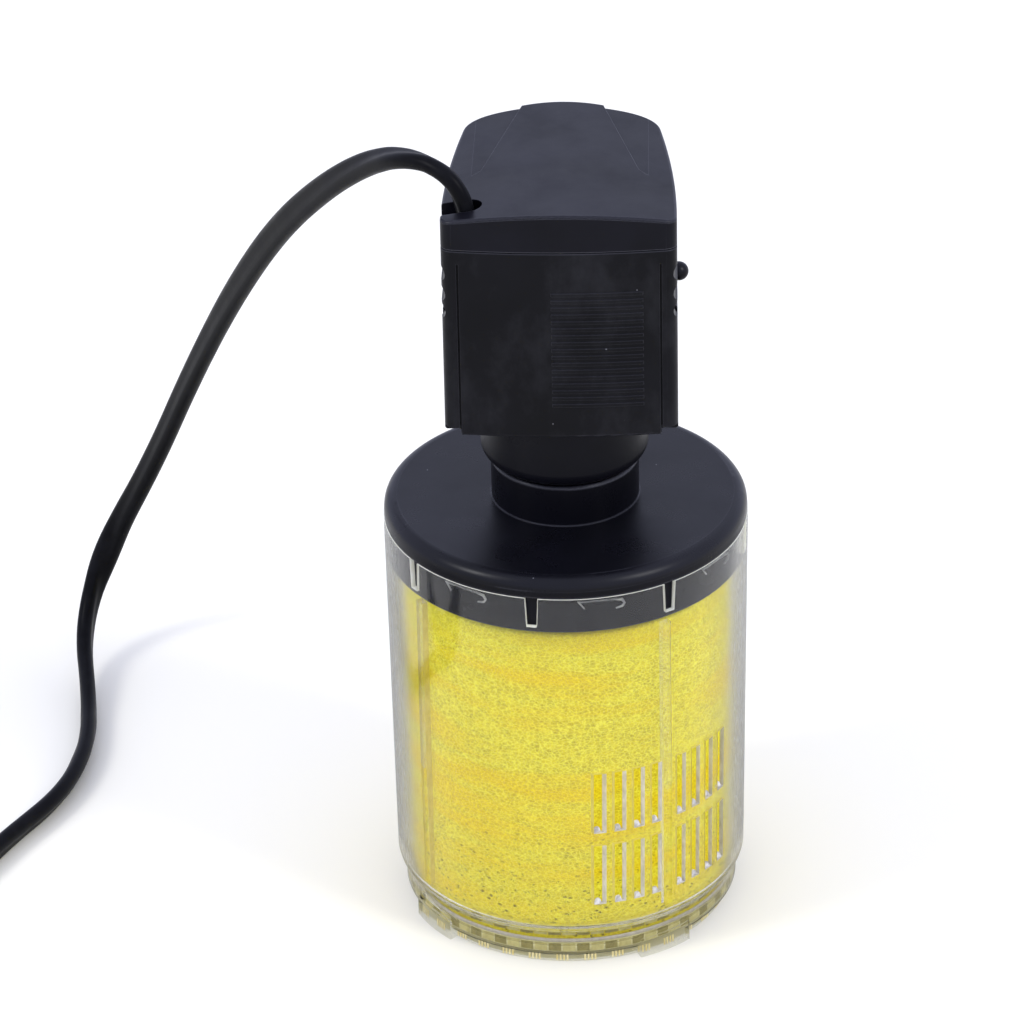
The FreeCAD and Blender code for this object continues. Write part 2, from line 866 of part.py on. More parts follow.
rooms = [coil_on_leg(side) for side in (-1, 1)]
gland_at = ("gland_across", "gland_back", "gland_low")
keep("cord_gland", cone("Gland", "gland_radius", "gland_mouth", "gland_top - gland_low", gland_at))
fill = head_slab("Fill", "head_wall + 0.1", "deck_top + 0.1", "seam - 0.8", "6")
gland_room = cylinder(
    "GlandRoom",
    "gland_radius + 0.05",
    "40",
    ("gland_across", "gland_back", "gland_low - 0.1"),
)
fill_core = block(
    "CoreRoom",
    ("2 * core_half + 0.2", "core_rear + core_front + 0.2", "core_thick + 0.2"),
    ("-core_half - 0.1", "-core_rear - 0.1", "core_low - 0.1"),
)
well_room = cylinder("WellRoom", "well_outer + 0.1", "40", ("0", "0", "deck_low"))
keep("potting", cut("Potting", fill, gland_room, fill_core, well_room, *rooms))

keep(
    "rotor_magnet",
    tube("Magnet", "magnet_radius", "shaft_radius + running", "magnet_tall", ("0", "0", "magnet_low")),
)
vane = block(
    "ImpellerVane",
    ("impeller_radius - 2", "vane_thick", "vane_tall"),
    ("2", "-vane_thick / 2", "impeller_low"),
)
impeller_solid = join(
    "ImpellerSolid",
    cylinder("ImpellerHub", "hub_radius", "magnet_low - impeller_low - 0.1", ("0", "0", "impeller_low")),
    cylinder("ImpellerDisc", "impeller_radius", "1.4", ("0", "0", "impeller_low + vane_tall - 0.2")),
    spokes("Vanes", vane, 6, 0),
)
impeller_bore = cylinder("ImpellerBore", "shaft_radius + running", "40", ("0", "0", "impeller_low - 5"))
keep("impeller", cut("Impeller", impeller_solid, impeller_bore))
keep("rotor_shaft", cylinder("Shaft", "shaft_radius", "shaft_top - shaft_low", ("0", "0", "shaft_low")))


def bush(node, radius, tall, low, bore_tall, bore_low):
    """A ceramic bush that holds one end of the shaft in a blind or open bore."""
    outer = cylinder(node + "Outer", radius, tall, ("0", "0", low))
    bore = cylinder(node + "Bore", "shaft_radius + 0.02", bore_tall, ("0", "0", bore_low))
    keep(node, cut(node, outer, bore))


lower_tall = "impeller_low - flange_low - 0.6"
bush("lower_bush", "bush_radius", lower_tall, "flange_low + 0.1", "10", "shaft_low - 0.05")
upper_low = "magnet_low + magnet_tall + 0.4"
upper_tall = f"well_top - 1.05 - ({upper_low})"
upper_bore = f"shaft_top + 1.05 - ({upper_low})"
bush("upper_bush", "well_inner - 0.05", upper_tall, upper_low, upper_bore, f"{upper_low} - 1")

# ---- flow control ----

stem_at = ("-outlet_bore + 0.4", "spindle_offset", "outlet_height")
stem = cylinder("SpindleStem", "spindle_radius", "spindle_end + outlet_bore - 0.4", stem_at, ALONG_X)
knob_at = ("knob_start", "spindle_offset", "outlet_height")
knob = cylinder("SpindleKnob", "knob_radius", "spindle_end - knob_start", knob_at, ALONG_X)
dome = ball("SpindleDome", "knob_radius", ("spindle_end", "spindle_offset", "outlet_height"))
blade_disc = cylinder("BladeDisc", "vane_radius", "1.2", ("0", "spindle_offset", "outlet_height - 0.6"))
keep("flow_spindle", join("FlowSpindle", stem, knob, dome, blade_disc))
seal_at = ("18.7", "spindle_offset", "outlet_height")
spindle_ring = tube("SpindleRing", "spindle_radius + 1.15", "spindle_radius + running", "2", seal_at, ALONG_X)
keep("spindle_seal", spindle_ring)

# ---- outlet nozzle ----

elbow_at = ("0", "elbow_at", "outlet_height")
spout_turn = Rotation(Vector(1, 0, 0), -90 - SIZES["spout_tilt"])
sleeve_length = "elbow_at - sleeve_start"
nozzle_solid = join(
    "NozzleSolid",
    cylinder("Sleeve", "sleeve_radius", sleeve_length, ("0", "sleeve_start", "outlet_height"), ALONG_Y),
    ball("Elbow", "sleeve_radius", elbow_at),
    cylinder("Spout", "spout_radius", "spout_length", elbow_at, spout_turn),
)
sleeve_bore_at = ("0", "sleeve_start - 1", "outlet_height")
sleeve_bore = "outlet_radius + running"
keep(
    "outlet_nozzle",
    cut(
        "Nozzle",
        nozzle_solid,
        cylinder("SleeveBore", sleeve_bore, "outlet_end + 1.5 - sleeve_start", sleeve_bore_at, ALONG_Y),
        cylinder("ElbowBore", "outlet_bore", sleeve_length, ("0", "sleeve_start", "outlet_height"), ALONG_Y),
        ball("ElbowRoom", "outlet_bore", elbow_at),
        cylinder("SpoutBore", "spout_bore", "spout_length + 1", elbow_at, spout_turn),
    ),
)
ring_at = ("0", "41.6", "outlet_height")
keep("nozzle_seal", tube("NozzleSeal", "outlet_radius + 0.02", "outlet_radius - 0.95", "2", ring_at, ALONG_Y))
doc.recompute()

# ---- lead ----


def rounded_path(points):
    """Straight runs joined by tangent arcs, each as large as its two runs allow, and the arcs' radii."""
    points = [Vector(*point) for point in points]
    edges, radii = [], []
    start = points[0]
    for before, corner, after in zip(points, points[1:], points[2:], strict=False):
        back, ahead = before - corner, after - corner
        shorter = min(back.Length, ahead.Length)
        reach = 0.45 * shorter
        half = (math.pi - back.getAngle(ahead)) / 2
        radius = reach / math.tan(half)
        enter = corner + back / back.Length * reach
        leave = corner + ahead / ahead.Length * reach
        middle = (enter + leave) / 2
        depth = (corner - middle).Length
        sagitta = radius * (1 - math.cos(half))
        edges.append(Part.LineSegment(start, enter).toShape())
        edges.append(Part.Arc(enter, middle + (corner - middle) / depth * sagitta, leave).toShape())
        radii.append(radius)
        start = leave
    edges.append(Part.LineSegment(start, points[-1]).toShape())
    return Part.Wire(edges), radii


def lead(name, node, points):
    """A round tube of the lead's section along a route."""
    path, radii = rounded_path(points)
    first = path.Edges[0]
    section = Part.Wire(Part.Circle(first.valueAt(0), first.tangentAt(0), SIZES["lead_radius"]).toShape())
    thing = doc.addObject("Part::Feature", name)
    thing.Shape = path.makePipeShell([section], True, False)
    area = math.pi * SIZES["lead_radius"] ** 2
    print(node, "length", round(path.Length, 1), "radii", [round(radius, 1) for radius in radii])
    print(node, "volume over section times length", round(thing.Shape.Volume / (area * path.Length), 4))
    return keep(node, thing)


lead("PowerCord", "power_cord", ROUTE)
coil_at = ("coil_across", "coil_back", "coil_section + tie_thick")


def coil_ring(name, section, angle="360", turn=None):
    """A ring round the coil's circle, or part of one."""
    thing = doc.addObject("Part::Torus", name)
    return place(bind(thing, {"Radius1": "coil_radius", "Radius2": section, "Angle3": angle}), coil_at, turn)


keep("cord_coil", coil_ring("CordCoil", "coil_section"))
tie_outer = coil_ring("TieOuter", "coil_section + tie_thick", "9", about_z(-60))
keep("coil_tie", cut("CoilTie", tie_outer, coil_ring("TieInner", "coil_section + 0.02", "9", about_z(-60))))
tail_at = ("coil_across - coil_radius", "coil_back + 6", "plug_thick / 2")
keep("cord_tail", cylinder("CordTail", "lead_radius", "tail_length", tail_at, ALONG_Y))

# ---- plug, a flat two-pin one, along +Y from the end of the tail ----

middle = "coil_across - coil_radius"
relief_start = "coil_back + 6 + tail_length"
body_start = f"{relief_start} + relief_length"
relief_at = (middle, relief_start, "plug_thick / 2")
relief = cone("Relief", "lead_radius + 0.6", "5.4", "relief_length", relief_at, ALONG_Y)
plug = slab(
    "PlugBody",
    [
        (f"{middle} - 6", body_start),
        (f"{middle} + 6", body_start),
        (f"{middle} + plug_width / 2", f"{body_start} + 10"),
        (f"{middle} + plug_width / 2 - 1.5", f"{body_start} + plug_length"),
        (f"{middle} - plug_width / 2 + 1.5", f"{body_start} + plug_length"),
        (f"{middle} - plug_width / 2", f"{body_start} + 10"),
    ],
    "0",
    "plug_thick",
)
rounded(plug, "PlugSides", "3", lambda edge: abs(edge.tangentAt(edge.FirstParameter).z) > 0.99)
pin_face = number(f"{body_start} + plug_length")
rounded(
    plug,
    "PlugEdges",
    "2.5",
    lambda edge: abs(edge.tangentAt(edge.FirstParameter).z) < 0.01 and edge.CenterOfMass.y < pin_face - 1,
)
keep("plug_body", join("Plug", plug, relief))
for side, tag in ((-1, "left"), (1, "right")):
    axis = (f"{middle} + {side} * pin_spread", f"{body_start} + plug_length", "plug_thick / 2")
    shank = cylinder("Pin" + tag, "pin_radius", "pin_length - pin_radius", axis, ALONG_Y)
    tip = ball("PinTip" + tag, "pin_radius", (axis[0], f"{axis[1]} + pin_length - pin_radius", axis[2]))
    keep("plug_pin_" + tag, join("PlugPin" + tag, shank, tip))

# ---- check and write ----

doc.recompute()
for thing in doc.Objects:
    if "Invalid" in thing.State or "Error" in thing.State:
        raise RuntimeError(f"{thing.Name} ({thing.Label}) is {thing.State}")
os.makedirs("parts", exist_ok=True)
for node, thing in pieces.items():
    shape = thing.Shape
    if shape.isNull() or not shape.isValid():
        raise RuntimeError(f"{node} has no valid shape")
    print(f"{node:15s} {len(shape.Solids)} solid {shape.Volume:10.1f} mm3")
    shape.exportStep(f"parts/{node}.step")
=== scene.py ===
import json
import math

import bmesh
import bpy
import numpy as np
from mathutils import Matrix, Vector, noise


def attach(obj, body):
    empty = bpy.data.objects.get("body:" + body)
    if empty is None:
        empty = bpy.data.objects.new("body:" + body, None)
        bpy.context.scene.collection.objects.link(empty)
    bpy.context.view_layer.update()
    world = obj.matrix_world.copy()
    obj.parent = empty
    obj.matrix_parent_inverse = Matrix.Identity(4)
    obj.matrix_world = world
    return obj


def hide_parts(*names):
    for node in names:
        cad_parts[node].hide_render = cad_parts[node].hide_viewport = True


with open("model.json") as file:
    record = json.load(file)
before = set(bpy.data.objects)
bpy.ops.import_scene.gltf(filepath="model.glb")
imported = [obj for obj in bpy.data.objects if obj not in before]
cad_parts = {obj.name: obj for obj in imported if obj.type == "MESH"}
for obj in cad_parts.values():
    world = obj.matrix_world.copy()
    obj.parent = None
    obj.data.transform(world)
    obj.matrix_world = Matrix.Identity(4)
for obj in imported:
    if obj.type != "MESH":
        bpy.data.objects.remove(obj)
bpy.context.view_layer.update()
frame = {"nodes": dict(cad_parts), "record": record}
MM = 0.001

# ---- camera ----

YAW = math.radians(2.0)
PITCH = math.radians(29.689)
ROLL = math.radians(-1.195)
EYE = Vector((-13.33, -1400.87, 905.84)) * MM
FOCAL_MM, SENSOR_MM = 228.52, 36
about = Matrix.Rotation(YAW, 3, "Z")
level_up = Vector((0, math.sin(PITCH), math.cos(PITCH)))
across = about @ (Vector((1, 0, 0)) * math.cos(ROLL) + level_up * math.sin(ROLL))
upward = about @ (level_up * math.cos(ROLL) - Vector((1, 0, 0)) * math.sin(ROLL))
ahead = about @ Vector((0, math.cos(PITCH), -math.sin(PITCH)))
lens = bpy.data.cameras.new("camera")
lens.lens = FOCAL_MM
lens.sensor_width = SENSOR_MM
lens.clip_start, lens.clip_end = 0.05, 30
camera = bpy.data.objects.new("camera", lens)
bpy.context.scene.collection.objects.link(camera)
turn = Matrix((across, upward, -ahead)).transposed().to_4x4()
camera.matrix_world = Matrix.Translation(about @ EYE) @ turn
bpy.context.scene.camera = camera


# ---- mesh helpers ----


def link(name, data):
    thing = bpy.data.objects.new(name, data)
    bpy.context.scene.collection.objects.link(thing)
    return thing


def mesh_piece(name, points, faces, smooth=True):
    """A mesh object from points in metres."""
    data = bpy.data.meshes.new(name)
    data.from_pydata([tuple(point) for point in points], [], [tuple(face) for face in faces])
    data.validate()
    if smooth:
        data.shade_smooth()
    return link(name, data)


def outward(thing):
    """Makes every face's normal point out of a closed mesh."""
    shape = bmesh.new()
    shape.from_mesh(thing.data)
    bmesh.ops.recalc_face_normals(shape, faces=shape.faces)
    shape.to_mesh(thing.data)
    shape.free()
    return thing


def lathe(name, profile, sides=256, smooth=True):
    """A profile of (radius, height) in mm turned about Z: closed, or open between two points on the axis."""
    closed = profile[0][0] > 0
    rings, points = [], []
    for radius, height in profile:
        if radius <= 0:
            rings.append([len(points)])
            points.append((0, 0, height * MM))
            continue
        rings.append(list(range(len(points), len(points) + sides)))
        for i in range(sides):
            angle = 2 * math.pi * i / sides
            points.append((radius * MM * math.cos(angle), radius * MM * math.sin(angle), height * MM))
    pairs = list(zip(rings, rings[1:]))
    if closed:
        pairs.append((rings[-1], rings[0]))
    faces = []
    for low, high in pairs:
        for i in range(sides):
            j = (i + 1) % sides
            if len(low) == 1:
                faces.append((low[0], high[i], high[j]))
            elif len(high) == 1:
                faces.append((low[i], high[0], low[j]))
            else:
                faces.append((low[i], low[j], high[j], high[i]))
    return outward(mesh_piece(name, points, faces, smooth))


def prism(name, outline, low, high, top=None):
    """A closed upright prism in mm over a plan outline, with another outline at its top if given."""
    count = len(outline)
    points = [(x * MM, y * MM, low * MM) for x, y in outline]
    points += [(x * MM, y * MM, high * MM) for x, y in top or outline]
    faces = [tuple(range(count))[::-1], tuple(range(count, 2 * count))]
    faces += [(i, (i + 1) % count, (i + 1) % count + count, i + count) for i in range(count)]
    return outward(mesh_piece(name, points, faces, smooth=False))


def joined(name, things):
    """One object from several."""
    points, faces = [], []
    for thing in things:
        start = len(points)
        points += [thing.matrix_world @ vertex.co for vertex in thing.data.vertices]
        faces += [[start + i for i in polygon.vertices] for polygon in thing.data.polygons]
        bpy.data.objects.remove(thing)
    return mesh_piece(name, points, faces, smooth=False)


def apply_all(thing):
    """Replaces the mesh by what its modifiers make of it."""
    graph = bpy.context.evaluated_depsgraph_get()
    data = bpy.data.meshes.new_from_object(thing.evaluated_get(graph))
    thing.modifiers.clear()
    thing.data = data
    return thing


def boolean(thing, other, operation):
    tool = thing.modifiers.new(operation, "BOOLEAN")
    tool.operation = operation
    tool.solver = "EXACT"
    tool.object = other
    apply_all(thing)
    bpy.data.objects.remove(other)
    return thing


def soften(thing, width, segments=2, angle=35, sharp=35):
    """Rounds the sharp edges by width in mm and shades the rest smooth."""
    tool = thing.modifiers.new("soft edges", "BEVEL")
    tool.width = width * MM
    tool.segments = segments
    tool.limit_method = "ANGLE"
    tool.angle_limit = math.radians(angle)
    tool.use_clamp_overlap = True
    apply_all(thing)
    thing.data.shade_smooth()
    thing.data.set_sharp_from_angle(angle=math.radians(sharp))
    return thing


def heading(phi):
    """The outward and the sideways direction at an angle from -Y towards +X, in degrees."""
    turned = math.radians(phi)
    return (
        Vector((math.sin(turned), -math.cos(turned), 0)),
        Vector((math.cos(turned), math.sin(turned), 0)),
    )


def bar(name, phi, inner, outer, lateral, width, low, high, top_width=None):
    """A block in mm, along one direction from the axis, that may widen towards its top."""
    out, side = heading(phi)
    outlines = []
    for wide in (width, top_width or width):
        outline = []
        for reach, offset in ((inner, -0.5), (outer, -0.5), (outer, 0.5), (inner, 0.5)):
            spot = out * reach + side * (lateral + offset * wide)
            outline.append((spot.x, spot.y))
        outlines.append(outline)
    return prism(name, outlines[0], low, high, outlines[1])


# ---- materials ----


class Recipe:
    """Builds one material from nodes."""

    def __init__(self, name):
        self.material = bpy.data.materials.new(name)
        self.material.use_nodes = True
        self.nodes = self.material.node_tree.nodes
        self.nodes.clear()
        self.output = self.add("OutputMaterial")
        self.place = self.add("TexCoord").outputs["Object"]

    def add(self, kind, inputs=None, **settings):
        node = self.nodes.new("ShaderNode" + kind)
        for word, value in settings.items():
            setattr(node, word, value)
        for word, value in (inputs or {}).items():
            self.put(node.inputs[word], value)
        return node

    def put(self, socket, value):
        if isinstance(value, bpy.types.NodeSocket):
            self.material.node_tree.links.new(value, socket)
        else:
            socket.default_value = value

    def scaled(self, scale=(1, 1, 1)):
        """The object's own coordinates in mm, stretched by scale."""
        per_mm = tuple(1000 * s for s in scale)
        return self.add("Mapping", {"Vector": self.place, "Scale": per_mm}).outputs["Vector"]

    def noise(self, scale, detail=3, stretch=(1, 1, 1), rough=0.5):
        texture = self.add(
            "TexNoise", {"Vector": self.scaled(stretch), "Scale": scale, "Detail": detail, "Roughness": rough}
        )
        return texture.outputs["Fac"]

    def remap(self, value, low, high, to_low=0.0, to_high=1.0):
        inputs = {"Value": value, "From Min": low, "From Max": high, "To Min": to_low, "To Max": to_high}
        return self.add("MapRange", inputs).outputs["Result"]

    def math(self, operation, first, second=0.0):
        return self.add("Math", {0: first, 1: second}, operation=operation).outputs["Value"]

    def blend(self, factor, first, second, mode="MIX"):
        node = self.add("Mix", data_type="RGBA", blend_type=mode)
        self.put(node.inputs[0], factor)
        self.put(node.inputs[6], first)
        self.put(node.inputs[7], second)
        return node.outputs[2]

    def bump(self, height, strength, distance_mm, normal=None):
        inputs = {"Height": height, "Strength": strength, "Distance": distance_mm * MM}
        if normal is not None:
            inputs["Normal"] = normal
        return self.add("Bump", inputs).outputs["Normal"]

    def finish(self, lets_light=None, **inputs):
        """Ends in a Principled shader. With lets_light, lamps and scattered light pass in that tint."""
        shader = self.add("BsdfPrincipled")
        for word, value in inputs.items():
            self.put(shader.inputs[word.replace("_", " ")], value)
        surface = shader.outputs["BSDF"]
        if lets_light is not None:
            ray = self.add("LightPath")
            passing = self.math("MAXIMUM", ray.outputs["Is Shadow Ray"], ray.outputs["Is Diffuse Ray"])
            open_way = self.add("BsdfTransparent", {"Color": lets_light})
            mixed = self.add("MixShader", {0: passing})
            self.put(mixed.inputs[1], surface)
            self.put(mixed.inputs[2], open_way.outputs["BSDF"])
            surface = mixed.outputs["Shader"]
        self.put(self.output.inputs["Surface"], surface)
        return self.material


def rgb(red, green, blue):
    """A linear colour from sRGB values of 0 to 255."""
    linear = [((c / 255 + 0.055) / 1.055) ** 2.4 if c > 10 else c / 255 / 12.92 for c in (red, green, blue)]
    return (*linear, 1)


def moulded(name, dark, light, rough=(0.26, 0.38), edge_mm=0.2, edge_highlight_and_wear=0.0, smear=0.0):
    """Moulded plastic: faint flow shades, fine grain, matter on upright faces, edges painted lighter (a
    painted highlight, partly edge wear), and a few specks of dust.
    """
    r = Recipe(name)
    shade = r.remap(r.noise(0.035, 4), 0.35, 0.65)
    colour = r.blend(shade, dark, light)
    specks = r.add("TexVoronoi", {"Vector": r.scaled(), "Scale": 0.11, "Randomness": 1.0})
    near = r.remap(specks.outputs["Distance"], 0.012, 0.024, 0.35, 0.0)
    colour = r.blend(near, colour, rgb(190, 190, 196))
    dusty = r.remap(r.noise(0.06, 6, (1, 1, 0.6), 0.7), 0.5, 0.78, 0.0, smear)
    colour = r.blend(dusty, colour, rgb(120, 120, 126))
    worn = r.noise(0.09, 5, rough=0.62)
    gloss = r.remap(worn, 0.3, 0.7, rough[0], rough[1])
    soft = r.add("Bevel", {"Radius": edge_mm * MM}, samples=4).outputs["Normal"]
    plain = r.add("NewGeometry").outputs["Normal"]
    same = r.add("VectorMath", {0: soft, 1: plain}, operation="DOT_PRODUCT").outputs["Value"]
    # Edges are painted lighter grey: a painted highlight along the rounded edges, partly edge wear.
    colour = r.blend(r.remap(same, 0.9995, 0.996, 0.0, edge_highlight_and_wear), colour, rgb(112, 112, 120))
    fine = r.bump(r.noise(6.0, 2), 0.08, 0.05, soft)
    wave = r.bump(r.noise(0.05, 2), 0.1, 0.25, fine)
    upright = r.add("SeparateXYZ", {"Vector": plain}).outputs["Z"]
    shine = r.remap(upright, 0.02, 0.4, 0.25, 0.5)
    return r.finish(Base_Color=colour, Roughness=gloss, IOR=1.27, Specular_IOR_Level=shine, Normal=wave)


def plain_solid(name, colour, other, rough, metal=0.0, grain=1.2, strength=0.2, stretch=(1, 1, 1)):
    """An inner or small part's material with its own fine structure."""
    r = Recipe(name)
    pattern = r.noise(grain, 4, stretch)
    tone = r.blend(r.remap(pattern, 0.3, 0.7), colour, other)
    gloss = r.remap(pattern, 0.3, 0.7, rough, min(1.0, rough + 0.15))
    return r.finish(Base_Color=tone, Roughness=gloss, Metallic=metal, Normal=r.bump(pattern, strength, 0.05))


FACE_ON, GRAZING_SHADE = (0.985, 0.985, 0.975, 1), (0.5, 0.5, 0.46, 1)


def clear_plastic(name="clear_styrene", face_on=FACE_ON, grazing_shade=GRAZING_SHADE, index=1.27):
    """Water-clear styrene: hazier where light crosses it at a slant, and greyer there, partly its tint over
    the longer path and partly painted shade standing in for the dimmer surroundings; with faint scratches.
    """
    r = Recipe(name)
    scratch = r.noise(0.5, 6, (6, 6, 0.35), 0.7)
    slant = r.add("LayerWeight", {"Blend": 0.5}).outputs["Facing"]
    haze = r.remap(slant, 0.45, 0.7, 0.0, 0.24)
    gloss = r.math("ADD", r.remap(scratch, 0.35, 0.75, 0.01, 0.05), haze)
    normal = r.bump(r.noise(0.06, 2), 0.05, 0.3)
    # Greyer at a slant: partly the wall's tint over a longer path, partly painted shade for the dimmer
    # surroundings seen in it.
    tint = r.blend(r.remap(slant, 0.43, 0.68), face_on, grazing_shade)
    return r.finish(
        lets_light=(0.95, 0.95, 0.94, 1),
        Base_Color=tint,
        Roughness=gloss,
        IOR=index,
        Specular_IOR_Level=0.25,
        Transmission_Weight=0.993,
        Normal=normal,
    )


def cut_edge(name, light, dark, clear=0.35):
    """The wall's narrow edge faces, where light that travels in the wall comes out: a painted glow, with
    painted sparkle.
    """
    r = Recipe(name)
    spark = r.noise(0.8, 4, (1, 1, 0.5), 0.6)
    glow = r.blend(r.remap(spark, 0.35, 0.65), dark, light)
    return r.finish(
        lets_light=(0.9, 0.9, 0.85, 1),
        Base_Color=glow,
        Roughness=0.3,
        IOR=1.45,
        Transmission_Weight=clear,
        Normal=r.bump(spark, 0.3, 0.2),
    )


def foam():
    """Open-cell foam: pale tangled strands over deeper cells, in soft layers of shade, with painted shade in
    the pits of its cells, mostly low down.
    """
    r = Recipe("yellow_foam")
    warp = r.add("TexNoise", {"Vector": r.scaled(), "Scale": 0.9, "Detail": 2})
    bent = r.add("VectorMath", {0: warp.outputs["Color"], 1: (1.1, 1.1, 1.1)}, operation="MULTIPLY")
    flat = r.scaled((0.95, 0.95, 1.45))
    spot = r.add("VectorMath", {0: flat, 1: bent.outputs["Vector"]}, operation="ADD").outputs["Vector"]

    def cells(scale, wide):
        texture = r.add("TexVoronoi", {"Vector": spot, "Scale": scale}, feature="DISTANCE_TO_EDGE")
        return r.remap(texture.outputs["Distance"], 0.0, wide, 1.0, 0.0)

    def fibres(scale, wide, shift):
        moved = r.add("VectorMath", {0: spot, 1: (shift, -shift, 2 * shift)}, operation="ADD")
        inputs = {"Vector": moved.outputs["Vector"], "Scale": scale, "Detail": 1}
        level = r.add("TexNoise", inputs).outputs["Fac"]
        off = r.math("ABSOLUTE", r.math("SUBTRACT", level, 0.5))
        return r.remap(off, 0.0, wide, 1.0, 0.0)

    net, small = cells(0.78, 0.13), cells(1.6, 0.16)
    loose = r.math("MAXIMUM", fibres(0.85, 0.022, 3.0), fibres(1.05, 0.02, 17.0))
    web = r.math("MAXIMUM", r.math("MAXIMUM", net, loose), r.math("MULTIPLY", small, 0.4))
    layers = r.remap(r.noise(0.02, 3, (1, 1, 6.5)), 0.44, 0.62)
    depth = r.remap(r.noise(0.4, 3), 0.35, 0.65)
    cellar = r.blend(depth, rgb(216, 195, 2), rgb(182, 160, 0))
    deep = r.blend(r.math("MULTIPLY", layers, 0.75), cellar, rgb(212, 174, 0))
    pale = r.blend(layers, rgb(243, 236, 70), rgb(243, 222, 18))
    colour = r.blend(web, deep, pale)
    height = r.add("SeparateXYZ", {"Vector": r.scaled()}).outputs["Z"]
    green = r.remap(height, 84.0, 97.0, 0.0, 0.3)
    colour = r.blend(green, colour, rgb(206, 206, 64))
    colour = r.blend(r.remap(height, 8.0, 40.0, 0.3, 0.0), colour, rgb(196, 178, 34))
    holes = r.add("TexVoronoi", {"Vector": spot, "Scale": 0.5, "Randomness": 1.0})
    foot = r.remap(height, 10.0, 45.0, 1.0, 0.05)
    pit_shade = r.remap(holes.outputs["Distance"], 0.14, 0.34, 1.0, 0.0)
    pit_shade = r.math("MULTIPLY", r.math("MULTIPLY", pit_shade, foot), r.remap(web, 0.3, 0.8, 1.0, 0.0))
    # The cells' pits are painted dark olive: painted shade in the pores, mostly low down.
    colour = r.blend(pit_shade, colour, rgb(66, 54, 8))
    relief = r.math("SUBTRACT", web, pit_shade)
    normal = r.bump(relief, 0.4, 0.4)
    return r.finish(
        Base_Color=colour,
        Roughness=0.8,
        IOR=1.3,
        Normal=normal,
        Subsurface_Weight=0.1,
        Subsurface_Radius=(0.003, 0.0024, 0.0006),
    )


def cable():
    """Soft black PVC sheath with a fine matt skin and a few scuffs."""
    r = Recipe("black_pvc")
    scuff = r.noise(0.12, 5, rough=0.65)
    colour = r.blend(r.remap(scuff, 0.45, 0.75), rgb(11, 11, 13), rgb(22, 22, 25))
    gloss = r.remap(scuff, 0.3, 0.7, 0.3, 0.45)
    normal = r.bump(r.noise(3.0, 3), 0.12, 0.06)
    return r.finish(Base_Color=colour, Roughness=gloss, IOR=1.16, Specular_IOR_Level=0.4, Normal=normal)


MATERIALS = {
    "clear_plastic": clear_plastic(),
    "foam": foam(),
    "black_plastic": moulded("black_satin", rgb(9, 9, 13), rgb(14, 14, 20)),
    "seal_rubber": plain_solid("seal_rubber", rgb(18, 18, 19), rgb(28, 28, 30), 0.55),
    "core_steel": plain_solid(
        "core_steel", rgb(130, 130, 134), rgb(96, 96, 100), 0.35, 0.9, 2.0, 0.3, (0.1, 0.1, 4)
    ),
    "copper_wire": plain_solid(
        "copper_wire", rgb(190, 105, 60), rgb(120, 58, 30), 0.3, 0.9, 3.0, 0.6, (0.05, 2, 0.05)
    ),
    "nylon": plain_solid("nylon", rgb(222, 216, 200), rgb(206, 198, 180), 0.45),
    "resin": plain_solid("resin", rgb(30, 28, 26), rgb(44, 40, 36), 0.3),
    "ferrite": plain_solid("ferrite", rgb(50, 50, 54), rgb(70, 70, 74), 0.5, 0.2),
    "impeller_plastic": plain_solid("impeller_plastic", rgb(214, 218, 222), rgb(196, 200, 206), 0.3),
    "ceramic_white": plain_solid("ceramic_white", rgb(232, 230, 222), rgb(220, 216, 206), 0.2),
    "cord_pvc": cable(),
    "pin_metal": plain_solid(
        "pin_metal", rgb(196, 192, 180), rgb(170, 166, 152), 0.2, 1.0, 2.0, 0.15, (3, 0.2, 3)
    ),
}


def dress(thing, slot):
    """Gives a new piece its material and the record's slot."""
    thing.data.materials.clear()
    thing.data.materials.append(MATERIALS[slot])
    return thing


for part in frame["record"]["subparts"]:
    node = frame["nodes"][part["node"]]
    if not node.material_slots:
        node.data.materials.append(None)
    for place in node.material_slots:
        place.material = MATERIALS[part["material_slot"]]

# The mouldings that are seen from near have a finish each: edges, painted edge highlights (partly edge wear),
# wear and smears differ.
DARK, LIGHT = rgb(9, 9, 12), rgb(14, 14, 18)
FINISHES = {
    "lid": moulded("black_lid", rgb(9, 9, 13), rgb(14, 14, 20), (0.24, 0.36), 0.6, 0.22),
    "motor_cap": moulded("black_cap", rgb(10, 10, 14), rgb(18, 18, 25), (0.28, 0.42), 0.2, 0.34),
    "motor_housing": moulded("black_housing", DARK, LIGHT, (0.3, 0.42), 0.15, 0.16, 0.06),
    "intake_grille": moulded("black_grille", DARK, LIGHT, (0.3, 0.42)),
}
for word, finish in FINISHES.items():
    for place in frame["nodes"][word].material_slots:
        place.material = finish

# ---- lead ----

# The route keeps within a few mm of part.py's, and the coil's turns follow on the same spline,
# clockwise from above.
ROUTE = [
    (-22.0, -20.8, 198.5),
    (-22.2, -20.6, 204.0),
    (-27.0, -18.6, 210.9),
    (-36.6, -11.0, 211.0),
    (-46.2, 2.0, 203.2),
    (-57.8, 18.0, 188.8),
    (-71.4, 40.5, 165.9),
    (-85.3, 67.1, 134.0),
    (-99.1, 91.2, 97.7),
    (-112.3, 107.1, 61.8),
    (-126.4, 114.7, 32.4),
    (-134.0, 106.4, 11.0),
    (-130.1, 79.5, 3.5),
    (-128.9, 57.6, 3.5),
    (-133.3, 33.6, 3.5),
    (-147.6, 9.0, 3.5),
    (-157.6, -13.6, 3.5),
    (-160.4, -32.0, 3.5),
]
COIL_CENTRE = Vector((-203.5, -46.5))
TURNS = 3.5
TURN_STEPS = 14
